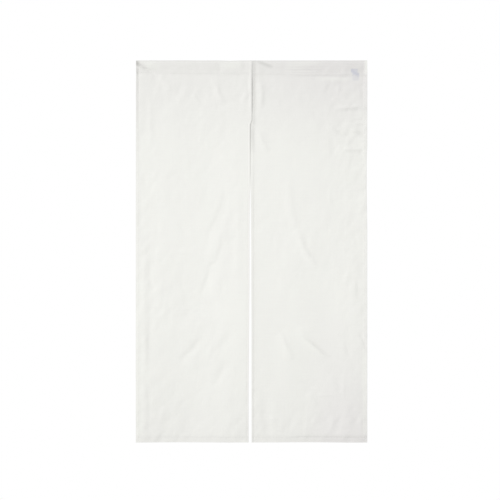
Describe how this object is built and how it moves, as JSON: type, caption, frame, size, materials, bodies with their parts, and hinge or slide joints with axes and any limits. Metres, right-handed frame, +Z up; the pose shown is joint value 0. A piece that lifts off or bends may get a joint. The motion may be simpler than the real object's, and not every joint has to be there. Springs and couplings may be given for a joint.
{
  "type": "noren curtain",
  "caption": "Plain cloth doorway curtain in panels sewn together at the top and parted by a slit below, with a rod pocket along its top edge.",
  "frame": {"origin": "middle of the top edge, above the rod pocket", "axes": "+Z up along the drop, +X across the doorway to the viewer's right, -Y towards the viewer, so the front faces -Y"},
  "size_m": [0.8505, 0.0209, 1.4],
  "materials": {
    "off_white_cloth": "plain woven off-white cloth, matt",
    "label_tape": "smooth pale violet-grey label tape, blank"
  },
  "bodies": {
    "root": {"left_panel": "off_white_cloth", "right_panel": "off_white_cloth", "left_heading": "off_white_cloth", "right_heading": "off_white_cloth", "care_label": "label_tape"}
  },
  "joints": []
}
